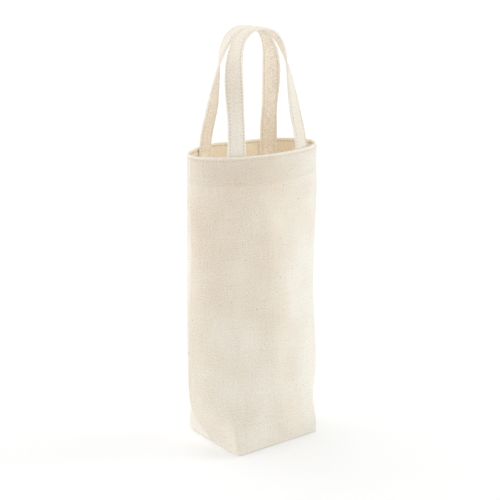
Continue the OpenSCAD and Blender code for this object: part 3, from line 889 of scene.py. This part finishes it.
def strap_section():
    """Across and out of a folded strap: rounded edges, and a groove along each row."""
    flat = strap_w / 2 - STRAP_EDGE
    edge = STRAP_EDGE * np.cos(np.radians([30, 55, 75]))
    a = np.concatenate([[strap_w / 2], flat + edge,
                        np.linspace(strap_w / 2 - 1.3, 1.0 - strap_w / 2 + 0.3, 25),
                        -(flat + edge[::-1]), [-strap_w / 2]])
    past = np.clip((np.abs(a) - flat) / STRAP_EDGE, 0, 1)
    h = strap_t / 2 * np.sqrt(1 - 0.93 * past ** 2)
    h = h - ROW_DEPTH * np.exp(-((np.abs(a) - strap_row) / ROW_W) ** 2)
    return a, h + 0.1 * np.cos(np.clip(a / strap_row, -1, 1) * math.pi / 2) ** 2


def hang_share(z):
    return np.clip((z - fold_z) / (arch[2] - fold_z), 0, 1) ** 1.5


def lie(along, z, free, out, across, side, seed):
    """How a handle's loop lies: its step outwards, and its turned outward and across directions."""
    share = (z - fold_z) / (arch[2] - fold_z)
    turned = math.radians(TWIST) * smooth(share / 0.3) * (1 - smooth((share - 0.3) / 0.6)) \
        * (side < 0)
    step = WOBBLE[0] * free * np.sin(along / WOBBLE[1] + seed) * out
    tilt = TILT[0] * free * np.sin(along / TILT[1] + 1.3 * seed) + turned
    return (step, out * np.cos(tilt) + across * np.sin(tilt),
            across * np.cos(tilt) - out * np.sin(tilt))


def strap(half, turn, seed):
    a, h = strap_section()
    m = len(a)
    n = 2 * m
    # painted highlight along the strap's edges
    edge = np.exp(-((np.abs(a) - strap_w / 2) / STRAP_EDGE_HIGHLIGHT) ** 2)
    face = np.r_[np.zeros(m), np.full(m, STRAP_INNER)]
    rings, cloth = [], []
    last = len(strap_pts) - 1
    for k, side in [(k, 1) for k in range(last + 1)] + [(k, -1) for k in range(last - 1, -1, -1)]:
        along = strap_runs[k] if side > 0 else 2 * arch_run - strap_runs[k]
        p = strap_pts[k]
        step, out, across = lie(along, p[2], strap_free[k], strap_out[k], strap_across[k],
                                side, seed)
        puff = 1 + 0.05 * math.sin(along * 2 * math.pi / STRAP_PITCH)
        width = 1 + WIDER[0] * math.sin(along / WIDER[1] + seed)
        top = p + step + a[:, None] * width * across + (h * puff)[:, None] * out
        low = p + step + a[::-1, None] * width * across \
            - (h[::-1] * puff * pressed(p[2]))[:, None] * out
        ring = np.concatenate([top, low]) * np.array([side, 1, 1])
        rings.append(ring + hang_share(p[2]) * HANG[turn])
        cloth.append(np.stack([np.r_[a, a[::-1]], np.full(n, along), face], -1))
    far = (len(rings) - 1) * n
    faces = grid_faces(len(rings), n, close_cols=True).tolist()
    faces += [(j, j + 1, n - 2 - j, n - 1 - j) for j in range(m - 1)]
    faces += [(far + n - 1 - j, far + n - 2 - j, far + j + 1, far + j) for j in range(m - 1)]
    b = Build()
    b.add(spun(np.array(rings), turn - mouth_turn), np.array(cloth), faces,
          np.tile(np.r_[edge, edge[::-1]], len(rings)))
    obj = b.piece(half + "_strap", None,
                  [half + "_handle", half + "_handle_ends"], strap_canvas)
    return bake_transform(obj)


def strap_line(offset, face, turn, seed):
    """A row of stitches along a strap, offset across it, on its outer (1) or inner (-1) face."""
    def at(t):
        back = t > arch_run
        s = np.where(back, 2 * arch_run - t, t)
        p, out, across = (np.stack([np.interp(s, strap_runs, v[:, i]) for i in range(3)], -1)
                          for v in (strap_pts, strap_out, strap_across))
        side = np.where(back, -1.0, 1.0)[:, None]
        free = np.interp(s, strap_runs, strap_free)[:, None]
        step, out, across = lie(t[:, None], p[:, 2:], free, unit(out), unit(across), side, seed)
        deep = pressed(p[:, 2:]) if face < 0 else 1.0
        q = p + step + offset * across + face * (strap_t / 2 - ROW_DEPTH) * deep * out
        mirror = side * np.array([1.0, 0, 0]) + np.array([0, 1.0, 1.0])
        q, out = q * mirror + hang_share(p[:, 2:]) * HANG[turn], out * face * mirror
        return spun(q, turn - mouth_turn), spun(out, turn - mouth_turn)
    return at


def end_line(side, z, turn):
    """A row of the hem, where it crosses the inner face of a sewn strap end."""
    def at(t):
        x = side * leg_mid[0] + t * math.cos(leg_angle)
        y = leg_mid[1] + side * t * math.sin(leg_angle)
        out = np.array([-side * math.sin(leg_angle), math.cos(leg_angle), 0.0])
        p = np.stack([x, y, np.full_like(t, z)], -1) + out * (strap_t / 2 * pressed(z) + 0.02)
        return spun(p, turn - mouth_turn), np.broadcast_to(spun(out, turn - mouth_turn), p.shape)
    return at


def strap_rows(half, turn, seed):
    b = Build()
    count = int(2 * arch_run / STRAP_PITCH)
    for offset in (-strap_row, strap_row):
        for face in (-1, 1):
            first = 1 if face < 0 else 9  # outside, the sewn end's rows lie between strap and hem
            stitches(b, strap_line(offset, face, turn, seed), count - 2 * first, STRAP_PITCH,
                     start=first * STRAP_PITCH)
    for side in (-1, 1):
        for z in (rim_row, hem_row):
            stitches(b, end_line(side, z, turn), 4, 2.9, start=-5.8)
    obj = b.piece(half + "_strap_stitches", None,
                  [half + "_handle_stitching", half + "_end_stitching"], sewing_thread)
    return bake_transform(obj)


# ------------ the pieces
SIDE_SPAN = (seam_top + ROW_END, hem_foot - ROW_END)
BOTTOM_SPAN = (-(base_w / 2 - seam_w - ROW_END), base_w / 2 - seam_w - ROW_END)
CORNER_SPAN = (base_side / 5, base_side * 4 / 5)
SIDES = (("left", -1), ("right", 1))

cloths = [panel("front", 0, 0.4), panel("back", 180, 2.9)]
hem_rows("rim_stitches", rim_row, "rim_stitching")
hem_rows("hem_stitches", hem_row, "hem_stitching")
for name, side in SIDES:
    seam_rows(name + "_side", [side_row(side, face) for face in (-1, 1)], *SIDE_SPAN)
seam_rows("bottom", [bottom_row(face) for face in (-1, 1)], *BOTTOM_SPAN)
for name, side in SIDES:
    seam_rows(name + "_corner", [corner_row(side, half) for half in (-1, 1)], *CORNER_SPAN)
for name, side in SIDES:
    node = name + "_side_overlock"
    overlock(node + "_thread", node, side_place(side), *SIDE_SPAN)
overlock("bottom_overlock_thread", "bottom_overlock", bottom_place, *BOTTOM_SPAN)
for name, side in SIDES:
    node = name + "_corner_overlock"
    overlock(node + "_thread", node, corner_place(side, -1), *CORNER_SPAN)
    overlock(node + "_thread_back", node, corner_place(side, 1), *CORNER_SPAN)
for make in (strap, strap_rows):
    make("front", 0, 0.9)
    make("back", 180, 2.2)


# ------------ floor, camera and light
FLOOR_R, FLOOR_DROP, FLOOR_WHITE = 6.0, 0.0002, 0.92
GLOW, GLOW_SHARE = 1.22, 0.3  # strength of the floor's glow and its share of what the camera sees
WORLD = 0.12  # strength of the light from all around


def floor():
    """A white floor that glows a little for the camera, so that it is as white as the photo's."""
    r = FLOOR_R
    mesh = bpy.data.meshes.new("floor")
    mesh.from_pydata([(-r, -r, 0), (r, -r, 0), (r, r, 0), (-r, r, 0)], [], [(0, 1, 2, 3)])
    obj = place_in_scene("floor", mesh)
    obj.location.z = -FLOOR_DROP
    material, n, shader = new_material("floor")
    n.feed(shader, {"Base Color": (FLOOR_WHITE, FLOOR_WHITE, FLOOR_WHITE, 1),
                    "Roughness": 0.9, "Specular IOR Level": 0.1})
    seen = n.node("ShaderNodeLightPath").outputs["Is Camera Ray"]
    glow = n.node("ShaderNodeEmission", {"Strength": GLOW}).outputs[0]
    mixed = n.mix_shader(n.math("MULTIPLY", seen, GLOW_SHARE), shader.outputs[0], glow)
    n.feed(n.tree.nodes["Material Output"], {0: mixed})
    mesh.materials.append(material)


floor()

# the camera that was fitted to the photo, in degrees and millimetres
CAM_AZ, CAM_PITCH, CAM_YAW = -36.8, 16.1307, 0.1522
CAM_DIST, CAM_H = 1036.46, 475.81
CAM_F, IMAGE = 1200.0, 500.0  # focal length and width of the picture, in its pixels

cam = bpy.data.cameras.new("camera")
cam_obj = place_in_scene("camera", cam)
cam.sensor_width = 36.0
cam.lens = cam.sensor_width * CAM_F / IMAGE
az, heading, pitch = (math.radians(v) for v in (CAM_AZ, CAM_AZ + CAM_YAW, CAM_PITCH))
way = Vector((-math.sin(heading) * math.cos(pitch), math.cos(heading) * math.cos(pitch),
              -math.sin(pitch)))
cam_obj.location = (math.sin(az) * CAM_DIST * MM, -math.cos(az) * CAM_DIST * MM, CAM_H * MM)
cam_obj.rotation_euler = way.to_track_quat("-Z", "Y").to_euler()
cam.clip_start, cam.clip_end = 0.05, 50
bpy.context.scene.camera = cam_obj


def sun(name, azimuth, elevation, strength, spread, colour):
    data = bpy.data.lights.new(name, "SUN")
    data.energy, data.angle, data.color = strength, math.radians(spread), colour
    a, e = math.radians(azimuth), math.radians(elevation)
    back = Vector((math.sin(a) * math.cos(e), -math.cos(a) * math.cos(e), math.sin(e)))
    place_in_scene(name, data).rotation_euler = back.to_track_quat("Z", "Y").to_euler()


# the size, middle height, power and colour of each of the two panels of light in the bag
GLOW_W, GLOW_H, GLOW_Z, GLOW_POWER, GLOW_COLOUR = 0.1, 0.23, 0.142, 0.011, (1.0, 0.9, 0.77)


def through_cloth(name, way):
    """The light that comes through the canvas: a faint warm panel upright in the bag."""
    data = bpy.data.lights.new(name, "AREA")
    data.shape, data.size, data.size_y = "RECTANGLE", GLOW_W, GLOW_H
    data.energy, data.color = GLOW_POWER, GLOW_COLOUR
    obj = place_in_scene(name, data)
    obj.visible_camera = False
    obj.location = (0, 0, GLOW_Z)
    obj.rotation_euler = Vector((0, -way, 0)).to_track_quat("Z", "Y").to_euler()


WHITE = (1.0, 1.0, 1.0)
# azimuth from the camera's, elevation, strength, spread, colour
LIGHTS = (
    ("left_front", -60, 30, 0.65, 60, WHITE),
    ("left", -95, 30, 0.8, 60, WHITE),
    ("right", 92, 28, 1.05, 60, (0.97, 1.0, 1.0)),
    ("right_edge", 104, 22, 0.6, 25, (0.97, 1.0, 1.0)),
    ("back_left", -140, 40, 0.8, 60, WHITE),
    ("back_right", 145, 45, 0.25, 60, WHITE),
    ("back", 180, 60, 0.6, 60, WHITE),
    ("front", 0, 20, 0.85, 60, (1.0, 0.98, 0.94)),
)
for name, turn, height, strength, spread, colour in LIGHTS:
    sun(name, CAM_AZ + turn, height, strength, spread, colour)
through_cloth("through_front", -1)
through_cloth("through_back", 1)

# the world lights the scene faintly, but is white to the camera and in what shines
world = bpy.data.worlds.new("studio")
bpy.context.scene.world = world
world.use_nodes = True
n = Nodes(world.node_tree)
faint = n.tree.nodes["Background"]
n.feed(faint, {"Color": (1.0, 0.99, 0.975, 1), "Strength": WORLD})
shown = n.node("ShaderNodeBackground", {"Strength": 1.0})
ray = n.node("ShaderNodeLightPath").outputs
either = n.math("MAXIMUM", ray["Is Camera Ray"], ray["Is Glossy Ray"])
mixed = n.mix_shader(either, faint.outputs[0], shown.outputs[0])
n.feed(n.tree.nodes["World Output"], {0: mixed})

bpy.context.scene.view_settings.view_transform = "Standard"
